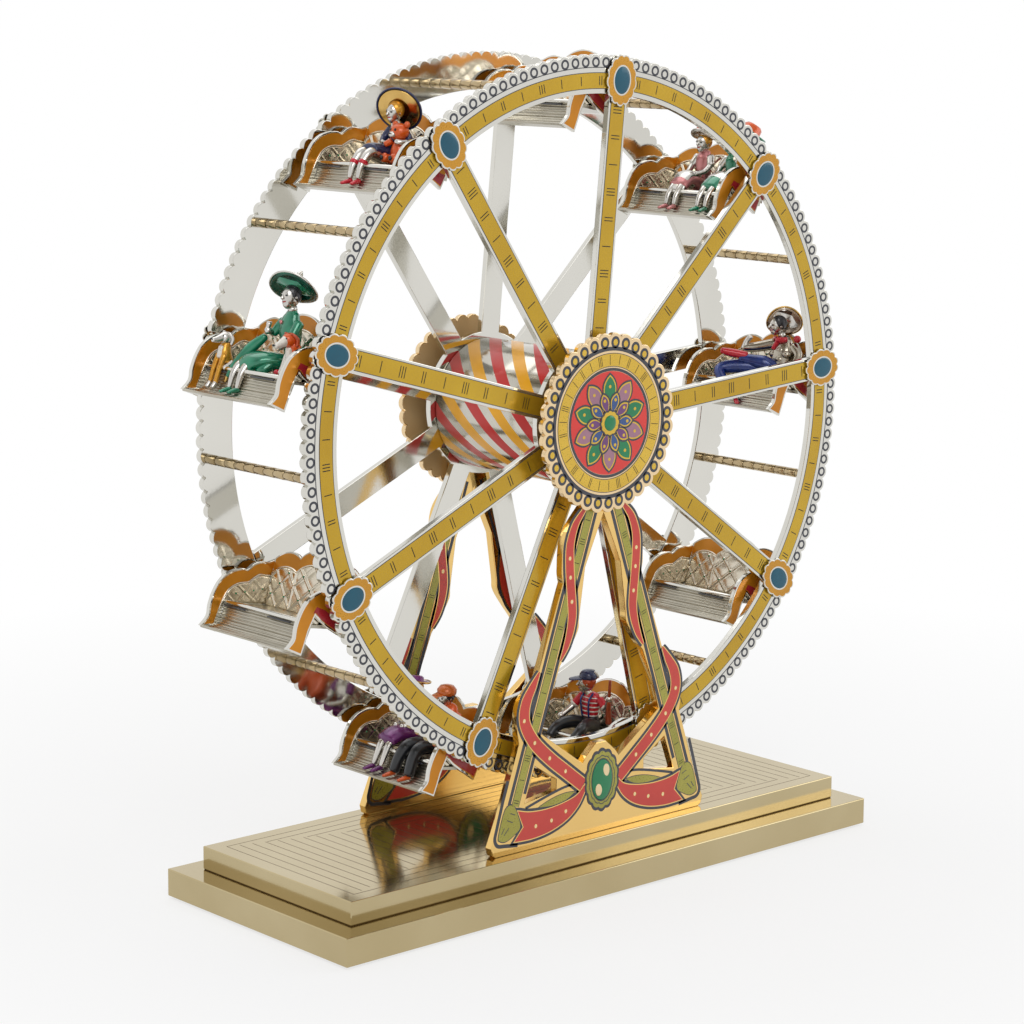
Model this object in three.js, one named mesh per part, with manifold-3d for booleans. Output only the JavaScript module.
// Enamelled silver model of a ferris wheel with nine hanging benches.
// Lengths are in millimetres. X runs along the base, Y along the axle and Z up.
// The origin is the middle of the underside of the base.

import * as THREE from 'three';
import { mergeVertices } from 'three/addons/utils/BufferGeometryUtils.js';
import Module from 'manifold-3d';

const wasm = await Module();
wasm.setup();

// Clearances
const seatGap = 0.3;
const runningGap = 0.45;
const fuseOverrun = 0.8;

// Base: a thin pad, a plinth and a slab, each smaller than the one below but the pad
const padHeight = 1.2;
const padInset = 3;
const plinthLength = 319.4;
const plinthDepth = 127;
const plinthHeight = 12.4;
const ledgeWidth = 11.2;
const slabHeight = 10.6;
const plinthTop = padHeight + plinthHeight;
const deckTop = plinthTop + slabHeight;

// Wheel
const seatCount = 9;
const sectorTurn = 2 * Math.PI / seatCount;
const firstSeatTurn = THREE.MathUtils.degToRad(5.6);
const axisAboveDeck = 186.4;
const axisHeight = deckTop + axisAboveDeck;
const pivotRadius = 150;
const wheelInnerFace = 34.5;
const plateThickness = 3;
const wheelOuterFace = wheelInnerFace + plateThickness;

// Rims with a scallop round every ring of their border
const ringsPerSector = 18;
const ringCircleRadius = 157.3;
const scallopRadius = 3.5;
const rimInnerRadius = 143.7;
const rimInnerSteps = 8;
const scallopSteps = 3;

// Spokes, cut with their hub plate from one sheet
const spokeWidth = 10.8;
const hubPlateRadius = 33;
const hubPlateSteps = 3;

// Drum between the hub plates
const drumRadius = 30;
const drumWall = 1.5;
const roundSteps = 30;

// Axle with a collar between each frame and the wheel
const axleRadius = 4;
const collarRadius = 7.5;
const boreSteps = 12;

// Rosettes, each with a boss and a stub pin that carries a bench
const rosetteLobes = 13;
const rosetteLobeRadius = 2.9;
const rosetteHalfLength = 11.5;
const rosetteHalfWidth = 9;
const rosetteThickness = 0.7;
const rosetteBossHeight = 0.5;
const rosetteBossShare = 0.78;
const rosetteBossSteps = 8;
const pinRadius = 1.6;
const pinSteps = 6;

// Tie rods between the rims
const rodRadius = 2.15;
const rodCircleRadius = 151.75;
const rodSteps = 8;

// Frames
const frameThickness = 4;
const frameInnerFace = 41.8;
const frameOuterFace = frameInnerFace + frameThickness;
const footHalfWidth = 65.5;
const frameHeadRadius = 14;
const frameHeadSteps = 6;
const ribbonSteps = 5;

// Hub discs over the frame heads
const discLobes = 35;
const discLobeRadius = 4;
const discRadius = 40;
const discThickness = 2.6;

// Benches
const benchHalfWidth = 33.6;
const sidePlateThickness = 2;
const sideDepth = 40;
const sideHeight = 28;
const sheetThickness = 1.4;
const pivotHoleSteps = 8;
const seatFront = { x: -11, z: -12.6 };
const seatBack = { x: 5.5, z: -14 };
const toe = { x: -24, z: -19.8 };
const toeUnderside = { x: -19, z: -22.8 };
const backLeanShare = 0.315;
const middleLobeTop = 30;
const sideLobeTop = 27;
const lobeValley = 24.5;
const lobeSteps = 3;

// Riders
const riderSides = 5;
const riderHeadSides = 6;
const riderHeadRings = 4;
const riderHatSides = 7;

// Finishes
const silver = { color: 0xc8c8c4, roughness: 0.22, metalness: 1 };
const gilt = { color: 0xd8c48e, roughness: 0.2, metalness: 1 };
const goldEnamel = { color: 0xb98a2c, roughness: 0.25, metalness: 0.5 };
const orangeEnamel = { color: 0xc07f2a, roughness: 0.3, metalness: 0.2 };
const stripedEnamel = { color: 0xb04a3a, roughness: 0.3, metalness: 0.3 };
const darkPad = { color: 0x3c3830, roughness: 0.7, metalness: 0 };

// Solids and meshes

function solidOf(geometry) {
  const bare = geometry.index ? geometry.toNonIndexed() : geometry.clone();
  bare.deleteAttribute('normal');
  bare.deleteAttribute('uv');
  const merged = mergeVertices(bare);
  const mesh = new wasm.Mesh({
    numProp: 3,
    vertProperties: merged.attributes.position.array,
    triVerts: Uint32Array.from(merged.index.array),
  });
  return new wasm.Manifold(mesh);
}

function geometryOf(solid) {
  const mesh = solid.getMesh();
  const geometry = new THREE.BufferGeometry();
  geometry.setAttribute('position', new THREE.BufferAttribute(mesh.vertProperties, 3));
  geometry.setIndex(new THREE.BufferAttribute(mesh.triVerts, 1));
  geometry.computeVertexNormals();
  return geometry;
}

function join(geometries) {
  return geometries.map(solidOf).reduce((sum, solid) => sum.add(solid));
}

function cut(solid, geometries) {
  return geometries.map(solidOf).reduce((rest, tool) => rest.subtract(tool), solid);
}

function namedMesh(name, geometry, finish) {
  const mesh = new THREE.Mesh(geometry, new THREE.MeshStandardMaterial(finish));
  mesh.name = name;
  return mesh;
}

// A plate that stands in a plane of X and Z, between two places along Y
function uprightPlate(outline, holes, yFront, yBack) {
  const clockwise = THREE.ShapeUtils.isClockWise(outline);
  const shape = new THREE.Shape(clockwise ? outline.slice().reverse() : outline);
  for (const hole of holes) shape.holes.push(new THREE.Path(hole));
  const plate = new THREE.ExtrudeGeometry(shape, { depth: yBack - yFront, bevelEnabled: false });
  plate.rotateX(Math.PI / 2);
  plate.translate(0, yBack, 0);
  return plate;
}

function circlePoints(x, z, radius, steps) {
  const points = [];
  for (let step = 0; step < steps; step += 1) {
    const turn = 2 * Math.PI * step / steps;
    points.push(new THREE.Vector2(x + radius * Math.sin(turn), z + radius * Math.cos(turn)));
  }
  return points;
}

// Lobes of one radius set round a circle, joined where neighbours meet
function scallopedPoints(lobeCircleRadius, lobeRadius, lobes, steps) {
  const halfPitch = Math.PI / lobes;
  const halfChord = lobeCircleRadius * Math.sin(halfPitch);
  const valley = lobeCircleRadius * Math.cos(halfPitch) + Math.sqrt(lobeRadius ** 2 - halfChord ** 2);
  const halfArc = Math.atan2(valley * Math.sin(halfPitch), valley * Math.cos(halfPitch) - lobeCircleRadius);
  const points = [];
  for (let lobe = 0; lobe < lobes; lobe += 1) {
    const centre = new THREE.Vector2(0, lobeCircleRadius);
    for (let step = 0; step < steps; step += 1) {
      const turn = -halfArc + 2 * halfArc * step / steps;
      const point = new THREE.Vector2(lobeRadius * Math.sin(turn), lobeRadius * Math.cos(turn));
      point.add(centre);
      point.rotateAround(new THREE.Vector2(), -2 * halfPitch * (lobe + 0.5));
      points.push(point);
    }
  }
  return points;
}

function scaledPoints(shares, xSize, zSize) {
  return shares.map(([xShare, zShare]) => new THREE.Vector2(xShare * xSize, zShare * zSize));
}

// Base

function slabGeometry(length, depth, bottom, height) {
  const box = new THREE.BoxGeometry(length, depth, height);
  box.translate(0, 0, bottom + height / 2);
  return box;
}

function makeBase() {
  const base = new THREE.Group();
  const padLength = plinthLength - 2 * padInset;
  const padDepth = plinthDepth - 2 * padInset;
  const slabLength = plinthLength - 2 * ledgeWidth;
  const slabDepth = plinthDepth - 2 * ledgeWidth;
  base.add(namedMesh('base_pad', slabGeometry(padLength, padDepth, 0, padHeight), darkPad));
  base.add(namedMesh('base_plinth', slabGeometry(plinthLength, plinthDepth, padHeight, plinthHeight), gilt));
  base.add(namedMesh('base_slab', slabGeometry(slabLength, slabDepth, plinthTop, slabHeight), gilt));
  return base;
}

// Frames. Half outlines run from the head down, as shares of the foot's half width
// and of the axle's height above the deck.
const upperRibbonShares = [[0.198, 0.805], [0.351, 0.74], [0.378, 0.661], [0.366, 0.628]];
const lowerRibbonShares = [[0.595, 0.41], [0.742, 0.362], [0.77, 0.31], [0.754, 0.259]];
const footShares = [[0.919, 0.09], [1, 0.024], [0.986, 0.006], [0.962, 0]];
const openingTopShares = [[0, 0.783], [0.165, 0.658]];
const innerRibbonShares = [[0.165, 0.658], [0.214, 0.544], [0.235, 0.502], [0.389, 0.429]];
const openingFootShares = [[0.498, 0.335], [0.55, 0.274], [0.169, 0.18]];
const medallionTopShares = [[0.137, 0.195], [0.046, 0.223]];
const lowerHoleShares = [[0.611, 0.2], [0.702, 0.115], [0.412, 0.129], [0.412, 0.156]];

function framePoints(shares) {
  return scaledPoints(shares, footHalfWidth, axisAboveDeck);
}

function smoothPoints(knots, steps) {
  return new THREE.SplineCurve(knots).getPoints(steps);
}

function mirroredLoop(half) {
  const other = half.map((point) => new THREE.Vector2(-point.x, point.y)).reverse();
  return half.concat(other.filter((point) => point.x < 0));
}

function headPoints() {
  const points = [];
  for (let step = 0; step <= frameHeadSteps; step += 1) {
    const turn = Math.PI * 0.6 * step / frameHeadSteps;
    const x = frameHeadRadius * Math.sin(turn);
    points.push(new THREE.Vector2(x, axisAboveDeck + frameHeadRadius * Math.cos(turn)));
  }
  return points;
}

function frameOutline() {
  const half = [
    ...headPoints(),
    ...smoothPoints(framePoints(upperRibbonShares), ribbonSteps),
    ...smoothPoints(framePoints(lowerRibbonShares), ribbonSteps),
    ...framePoints(footShares),
  ];
  return mirroredLoop(half);
}

function frameOpening() {
  const half = [
    framePoints(openingTopShares)[0],
    ...smoothPoints(framePoints(innerRibbonShares), ribbonSteps),
    ...framePoints(openingFootShares),
    ...framePoints(medallionTopShares),
  ];
  return mirroredLoop(half);
}

function makeFrame(name, yFront) {
  const lowerHole = framePoints(lowerHoleShares);
  const otherHole = lowerHole.map((point) => new THREE.Vector2(-point.x, point.y));
  const axleHole = circlePoints(0, axisAboveDeck, axleRadius + seatGap, boreSteps);
  const holes = [frameOpening(), lowerHole, otherHole, axleHole];
  const plate = uprightPlate(frameOutline(), holes, yFront, yFront + frameThickness);
  plate.translate(0, 0, deckTop);
  return namedMesh(name, geometryOf(solidOf(plate)), gilt);
}

// Axle and hub discs

function makeAxle() {
  const collarInner = wheelOuterFace + seatGap;
  const collarOuter = frameInnerFace - seatGap;
  const half = [
    [axleRadius, collarInner],
    [collarRadius, collarInner],
    [collarRadius, collarOuter],
    [axleRadius, collarOuter],
    [axleRadius, frameOuterFace],
    [0, frameOuterFace],
  ];
  const upper = half.map(([radius, y]) => new THREE.Vector2(radius, y));
  const lower = half.map(([radius, y]) => new THREE.Vector2(radius, -y)).reverse();
  const axle = new THREE.LatheGeometry(lower.concat(upper), boreSteps);
  axle.translate(0, 0, axisHeight);
  return namedMesh('axle', geometryOf(solidOf(axle)), silver);
}

function makeHubDisc(name, yFront) {
  const outline = scallopedPoints(discRadius - discLobeRadius, discLobeRadius, discLobes, scallopSteps);
  const plate = uprightPlate(outline, [], yFront, yFront + discThickness);
  plate.translate(0, 0, axisHeight);
  return namedMesh(name, geometryOf(solidOf(plate)), gilt);
}

// Wheel

function makeRim(name, yFront) {
  const scallops = seatCount * ringsPerSector;
  const outline = scallopedPoints(ringCircleRadius, scallopRadius, scallops, scallopSteps);
  const holes = [circlePoints(0, 0, rimInnerRadius, seatCount * rimInnerSteps)];
  for (let seat = 0; seat < seatCount; seat += 1) {
    const turn = seat * sectorTurn;
    const x = pivotRadius * Math.sin(turn);
    const z = pivotRadius * Math.cos(turn);
    holes.push(circlePoints(x, z, pinRadius + seatGap, pinSteps));
  }
  const plate = uprightPlate(outline, holes, yFront, yFront + plateThickness);
  return namedMesh(name, geometryOf(solidOf(plate)), silver);
}

function spokeOutline() {
  const tipRadius = rimInnerRadius - seatGap;
  const halfWidth = spokeWidth / 2;
  const rootTurn = Math.asin(halfWidth / hubPlateRadius);
  const tipSide = Math.sqrt(tipRadius ** 2 - halfWidth ** 2);
  const rootSide = Math.sqrt(hubPlateRadius ** 2 - halfWidth ** 2);
  const points = [];
  for (let seat = 0; seat < seatCount; seat += 1) {
    const arm = [
      new THREE.Vector2(-halfWidth, rootSide),
      new THREE.Vector2(-halfWidth, tipSide),
      new THREE.Vector2(halfWidth, tipSide),
      new THREE.Vector2(halfWidth, rootSide),
    ];
    for (let step = 1; step < hubPlateSteps; step += 1) {
      const turn = rootTurn + (sectorTurn - 2 * rootTurn) * step / hubPlateSteps;
      arm.push(new THREE.Vector2(hubPlateRadius * Math.sin(turn), hubPlateRadius * Math.cos(turn)));
    }
    for (const point of arm) {
      point.rotateAround(new THREE.Vector2(), -seat * sectorTurn);
      points.push(point);
    }
  }
  return points;
}

function makeSpokes(name, yFront) {
  const bore = circlePoints(0, 0, axleRadius + runningGap, boreSteps);
  const plate = uprightPlate(spokeOutline(), [bore], yFront, yFront + plateThickness);
  return namedMesh(name, geometryOf(solidOf(plate)), silver);
}

function makeDrum() {
  const end = wheelInnerFace - seatGap;
  const inner = drumRadius - drumWall;
  const section = [[inner, -end], [drumRadius, -end], [drumRadius, end], [inner, end], [inner, -end]];
  const profile = section.map(([radius, y]) => new THREE.Vector2(radius, y));
  const drum = new THREE.LatheGeometry(profile, roundSteps);
  return namedMesh('drum', geometryOf(solidOf(drum)), stripedEnamel);
}

function rosetteOutline() {
  const lobeCircle = rosetteHalfLength - rosetteLobeRadius;
  const points = scallopedPoints(lobeCircle, rosetteLobeRadius, rosetteLobes, 2);
  for (const point of points) point.x *= rosetteHalfWidth / rosetteHalfLength;
  return points;
}

function rosetteSolid() {
  const bossBack = -wheelOuterFace - seatGap;
  const bossFront = bossBack - rosetteBossHeight;
  const plateFront = bossFront - rosetteThickness;
  const pinEnd = -(benchHalfWidth - sidePlateThickness + seatGap);
  const outline = rosetteOutline();
  const boss = circlePoints(0, 0, rosetteHalfLength * rosetteBossShare, rosetteBossSteps);
  for (const point of boss) point.x *= rosetteHalfWidth / rosetteHalfLength;
  const pin = circlePoints(0, 0, pinRadius, pinSteps);
  const plate = uprightPlate(outline, [], plateFront, bossFront);
  const step = uprightPlate(boss, [], bossFront, bossBack);
  return join([plate, step, uprightPlate(pin, [], bossFront, pinEnd)]);
}

function makeRosette(name, facing) {
  const rosette = namedMesh(name, geometryOf(rosetteSolid()), orangeEnamel);
  rosette.rotation.z = facing;
  rosette.position.z = pivotRadius;
  return rosette;
}

function makeTieRod(name) {
  const end = wheelInnerFace - seatGap;
  const rod = uprightPlate(circlePoints(0, rodCircleRadius, rodRadius, rodSteps), [], -end, end);
  return namedMesh(name, geometryOf(solidOf(rod)), silver);
}

function makeWheel() {
  const wheel = new THREE.Group();
  wheel.add(makeDrum());
  wheel.add(makeRim('front_rim', -wheelOuterFace));
  wheel.add(makeRim('rear_rim', wheelInnerFace));
  wheel.add(makeSpokes('front_spokes', -wheelOuterFace));
  wheel.add(makeSpokes('rear_spokes', wheelInnerFace));
  for (let seat = 0; seat < seatCount; seat += 1) {
    const station = new THREE.Group();
    station.add(makeRosette(`front_rosette_${seat + 1}`, 0));
    station.add(makeRosette(`rear_rosette_${seat + 1}`, Math.PI));
    station.rotation.y = seat * sectorTurn;
    wheel.add(station);
    const between = new THREE.Group();
    between.add(makeTieRod(`tie_rod_${seat + 1}`));
    between.rotation.y = (seat + 0.5) * sectorTurn;
    wheel.add(between);
  }
  wheel.rotation.y = firstSeatTurn;
  wheel.position.z = axisHeight;
  return wheel;
}

// Benches. Places are measured from the pivot, and a rider faces towards -X.
const sideOutlineShares = [
  [-0.61, -0.68], [-0.475, -0.82], [-0.385, -0.535], [-0.26, -0.305], [-0.125, -0.43], [0.01, -0.65],
  [0.09, -0.52], [0.2, -0.215], [0.325, 0.035], [0.38, 0.12], [0.25, 0.18], [0.11, 0.12],
  [0, 0.17], [-0.17, 0.09], [-0.3, -0.04], [-0.39, -0.2], [-0.45, -0.42], [-0.49, -0.535],
];

function sidePlate(yFront) {
  const outline = scaledPoints(sideOutlineShares, sideDepth, sideHeight);
  const hole = circlePoints(0, 0, pinRadius + runningGap, pivotHoleSteps);
  return uprightPlate(outline, [hole], yFront, yFront + sidePlateThickness);
}

function underNormal(from, to) {
  const along = to.clone().sub(from).normalize();
  return new THREE.Vector2(along.y, -along.x);
}

// The far face of a bent sheet, mitred at its bends
function offsetPath(path, distance) {
  return path.map((point, index) => {
    const here = underNormal(path[Math.max(index - 1, 0)], path[Math.max(index, 1)]);
    const last = path.length - 1;
    const next = underNormal(path[Math.min(index, last - 1)], path[Math.min(index + 1, last)]);
    const middle = here.clone().add(next).normalize();
    return point.clone().addScaledVector(middle, distance / middle.dot(here));
  });
}

// The footboard and seat, bent from one sheet
function seatSheet() {
  const path = [toeUnderside, toe, seatFront, seatBack].map((place) => new THREE.Vector2(place.x, place.z));
  const outline = path.concat(offsetPath(path, sheetThickness).reverse());
  const reach = benchHalfWidth - sidePlateThickness + fuseOverrun;
  return uprightPlate(outline, [], -reach, reach);
}

function lobePoints(from, to, top) {
  const middle = (from + to) / 2;
  const halfChord = (to - from) / 2;
  const rise = top - lobeValley;
  const radius = (halfChord ** 2 + rise ** 2) / (2 * rise);
  const halfArc = Math.asin(halfChord / radius);
  const points = [];
  for (let step = 0; step < lobeSteps; step += 1) {
    const turn = -halfArc + 2 * halfArc * step / lobeSteps;
    const height = top - radius + radius * Math.cos(turn);
    points.push(new THREE.Vector2(middle + radius * Math.sin(turn), height));
  }
  return points;
}

// The back, with a lobe over each third, leaning away from the rider
function backSheet() {
  const reach = benchHalfWidth - sidePlateThickness + fuseOverrun;
  const third = reach / 3;
  const outline = [
    ...lobePoints(-reach, -third, sideLobeTop),
    ...lobePoints(-third, third, middleLobeTop),
    ...lobePoints(third, reach, sideLobeTop),
    new THREE.Vector2(reach, lobeValley),
    new THREE.Vector2(reach, -sheetThickness),
    new THREE.Vector2(-reach, -sheetThickness),
  ];
  const shape = new THREE.Shape(outline);
  const sheet = new THREE.ExtrudeGeometry(shape, { depth: sheetThickness, bevelEnabled: false });
  const across = new THREE.Vector3(0, 1, 0);
  const up = new THREE.Vector3(backLeanShare, 0, 1).normalize();
  const frame = new THREE.Matrix4().makeBasis(across, up, new THREE.Vector3().crossVectors(across, up));
  sheet.applyMatrix4(frame);
  sheet.translate(seatBack.x, 0, seatBack.z);
  return sheet;
}

function benchSolid() {
  const rearPlate = benchHalfWidth - sidePlateThickness;
  return join([seatSheet(), backSheet(), sidePlate(-benchHalfWidth), sidePlate(rearPlate)]);
}

// Everything under the seat and behind the back, one clearance proud of them
function benchSpace() {
  const up = new THREE.Vector2(backLeanShare, 1).normalize();
  const backTop = new THREE.Vector2(seatBack.x, seatBack.z).addScaledVector(up, 2 * middleLobeTop);
  const outline = [
    new THREE.Vector2(toe.x - sideDepth, toe.z + seatGap),
    new THREE.Vector2(toe.x, toe.z + seatGap),
    new THREE.Vector2(seatFront.x, seatFront.z + seatGap),
    new THREE.Vector2(seatBack.x - seatGap, seatBack.z + seatGap),
    new THREE.Vector2(backTop.x - seatGap, backTop.y),
    new THREE.Vector2(backTop.x + sideDepth, backTop.y),
    new THREE.Vector2(backTop.x + sideDepth, toe.z - sideDepth),
    new THREE.Vector2(toe.x - sideDepth, toe.z - sideDepth),
  ];
  const reach = 2 * benchHalfWidth;
  return uprightPlate(outline, [], -reach, reach);
}

// Riders. Places are shares of the rider's height above the seat, forward, sideways and up.
const sittingShares = {
  hip: [0, 0.06], waist: [0.03, 0.28], chest: [0.07, 0.5], neck: [0.1, 0.67], head: [0.04, 0.82],
  knee: [-0.4, 0.15], ankle: [-0.55, 0], toes: [-0.7, -0.08],
  shoulder: [0.08, 0.54], elbow: [-0.05, 0.34], hand: [-0.26, 0.3],
  hipWidth: 0.09, kneeWidth: 0.11, shoulderWidth: 0.13, elbowWidth: 0.22, handWidth: 0.1,
};

// A tapering closed tube through centres, with a pointed cap at each end
function limb(centres, radii, widthShare) {
  const positions = [];
  const index = [];
  const last = centres.length - 1;
  centres.forEach((centre, ring) => {
    const along = centres[Math.min(ring + 1, last)].clone().sub(centres[Math.max(ring - 1, 0)]).normalize();
    const side = new THREE.Vector3(0, 1, 0).addScaledVector(along, -along.y).normalize();
    const other = new THREE.Vector3().crossVectors(along, side);
    for (let step = 0; step < riderSides; step += 1) {
      const turn = 2 * Math.PI * step / riderSides;
      const point = centre.clone();
      point.addScaledVector(side, radii[ring] * widthShare * Math.cos(turn));
      point.addScaledVector(other, radii[ring] * Math.sin(turn));
      positions.push(point);
    }
  });
  for (let ring = 0; ring < last; ring += 1) {
    for (let step = 0; step < riderSides; step += 1) {
      const here = ring * riderSides + step;
      const beside = ring * riderSides + (step + 1) % riderSides;
      index.push(here, beside, beside + riderSides, here, beside + riderSides, here + riderSides);
    }
  }
  const first = centres[0].clone().sub(centres[1]).setLength(radii[0] / 2).add(centres[0]);
  const end = centres[last].clone().sub(centres[last - 1]).setLength(radii[last] / 2).add(centres[last]);
  positions.push(first, end);
  for (let step = 0; step < riderSides; step += 1) {
    const next = (step + 1) % riderSides;
    index.push(positions.length - 2, next, step);
    index.push(positions.length - 1, last * riderSides + step, last * riderSides + next);
  }
  const geometry = new THREE.BufferGeometry().setFromPoints(positions);
  geometry.setIndex(index);
  return geometry;
}

function ball(centre, radius, heightShare) {
  const geometry = new THREE.SphereGeometry(radius, riderHeadSides, riderHeadRings);
  geometry.rotateX(Math.PI / 2);
  geometry.scale(1, 1, heightShare);
  geometry.translate(centre.x, centre.y, centre.z);
  return geometry;
}

// Hat profiles, as shares of the rider's height, from the brim up
const hatShares = {
  wide: [[0, 0], [0.27, -0.02], [0.12, 0.05], [0.1, 0.13], [0, 0.16]],
  cap: [[0, -0.02], [0.13, -0.02], [0.12, 0.06], [0, 0.12]],
  tall: [[0, 0], [0.17, -0.01], [0.11, 0.04], [0.09, 0.18], [0, 0.2]],
};

function hat(kind, head, height, tilt) {
  const profile = hatShares[kind].map(([r, z]) => new THREE.Vector2(r * height, z * height));
  const geometry = new THREE.LatheGeometry(profile, riderHatSides);
  geometry.rotateX(Math.PI / 2);
  geometry.rotateY(tilt);
  geometry.translate(head.x, head.y, head.z);
  return geometry;
}

function riderPieces(rider) {
  const pose = { ...sittingShares, ...rider.pose };
  const at = (name, widthName, side) => {
    const [xShare, zShare] = pose[name];
    const width = widthName ? pose[widthName] * side * rider.height : 0;
    return new THREE.Vector3(xShare * rider.height, rider.place + width, seatFront.z + zShare * rider.height);
  };
  const size = (share) => share * rider.height;
  const head = at('head');
  const brow = head.clone();
  brow.z += size(0.045);
  const pieces = [
    limb([at('hip'), at('waist'), at('chest'), at('neck'), head], [0.14, 0.11, 0.13, 0.05, 0.04].map(size), 1.3),
    ball(head, size(0.1), 1.25),
    hat(rider.hat, brow, rider.height, rider.tilt),
  ];
  for (const side of [-1, 1]) {
    const hip = at('hip', 'hipWidth', side);
    const knee = at('knee', 'kneeWidth', side);
    const ankle = at('ankle', 'kneeWidth', side);
    const toes = at('toes', 'kneeWidth', side);
    const shoulder = at('shoulder', 'shoulderWidth', side);
    const elbow = at('elbow', 'elbowWidth', side);
    const hand = at('hand', 'handWidth', side);
    pieces.push(limb([hip, knee, ankle, toes], [0.1, 0.08, 0.055, 0.045].map(size), 1));
    pieces.push(limb([shoulder, elbow, hand], [0.06, 0.05, 0.04].map(size), 1));
  }
  return pieces;
}

function makeRider(rider) {
  const solid = cut(join(riderPieces(rider)), [benchSpace()]);
  return namedMesh(rider.name, geometryOf(solid), silver);
}

function dogPieces(dog) {
  const size = (share) => share * dog.height;
  const at = (xShare, yShare, zShare) => {
    return new THREE.Vector3(size(xShare), dog.place + size(yShare), seatFront.z + size(zShare));
  };
  const pieces = [
    limb([at(0.15, 0, 0.15), at(0.05, 0, 0.4), at(-0.05, 0, 0.62)], [0.26, 0.22, 0.13].map(size), 1),
    limb([at(-0.02, 0, 0.74), at(-0.2, 0, 0.74), at(-0.36, 0, 0.7)], [0.17, 0.12, 0.07].map(size), 1),
  ];
  for (const side of [-1, 1]) {
    const width = 0.13 * side;
    pieces.push(limb([at(-0.08, width, 0.4), at(-0.2, width, 0.03)], [0.1, 0.07].map(size), 1));
    pieces.push(limb([at(0, width, 0.8), at(0.04, width * 1.2, 0.94)], [0.07, 0.03].map(size), 1));
  }
  return pieces;
}

const riders = [
  { name: 'rider_2_front', seat: 2, place: -19, height: 34, hat: 'tall', tilt: 0.1, pose: {} },
  { name: 'rider_2_rear', seat: 2, place: 5, height: 34, hat: 'wide', tilt: 0.1, pose: {} },
  { name: 'rider_3', seat: 3, place: -12, height: 34, hat: 'wide', tilt: 0.4, pose: {} },
  { name: 'rider_5', seat: 5, place: 0, height: 34, hat: 'cap', tilt: -0.1, pose: {} },
  { name: 'rider_6_front', seat: 6, place: -15, height: 32, hat: 'cap', tilt: 0, pose: {} },
  { name: 'rider_6_rear', seat: 6, place: 10, height: 32, hat: 'wide', tilt: 0.2, pose: {} },
  { name: 'rider_8', seat: 8, place: -3, height: 40, hat: 'wide', tilt: 0.1, pose: {} },
  { name: 'rider_9', seat: 9, place: -4, height: 34, hat: 'wide', tilt: 0.5, pose: {} },
];
const dog = { name: 'dog_8', seat: 8, place: 22, height: 20 };

function makeDog() {
  const solid = cut(join(dogPieces(dog)), [benchSpace()]);
  return namedMesh(dog.name, geometryOf(solid), silver);
}

function pivotPlace(seat) {
  const turn = firstSeatTurn + (seat - 1) * sectorTurn;
  return new THREE.Vector3(pivotRadius * Math.sin(turn), 0, axisHeight + pivotRadius * Math.cos(turn));
}

function makeHangingBench(seat) {
  const hanging = new THREE.Group();
  hanging.add(namedMesh(`bench_${seat}`, geometryOf(benchSolid()), silver));
  for (const rider of riders.filter((one) => one.seat === seat)) hanging.add(makeRider(rider));
  if (dog.seat === seat) hanging.add(makeDog());
  hanging.position.copy(pivotPlace(seat));
  return hanging;
}

const ferrisWheel = new THREE.Group();
ferrisWheel.add(makeBase());
ferrisWheel.add(makeFrame('front_frame', -frameOuterFace));
ferrisWheel.add(makeFrame('rear_frame', frameInnerFace));
ferrisWheel.add(makeAxle());
ferrisWheel.add(makeHubDisc('front_hub_disc', -frameOuterFace - seatGap - discThickness));
ferrisWheel.add(makeHubDisc('rear_hub_disc', frameOuterFace + seatGap));
ferrisWheel.add(makeWheel());
for (let seat = 1; seat <= seatCount; seat += 1) ferrisWheel.add(makeHangingBench(seat));

export default ferrisWheel;
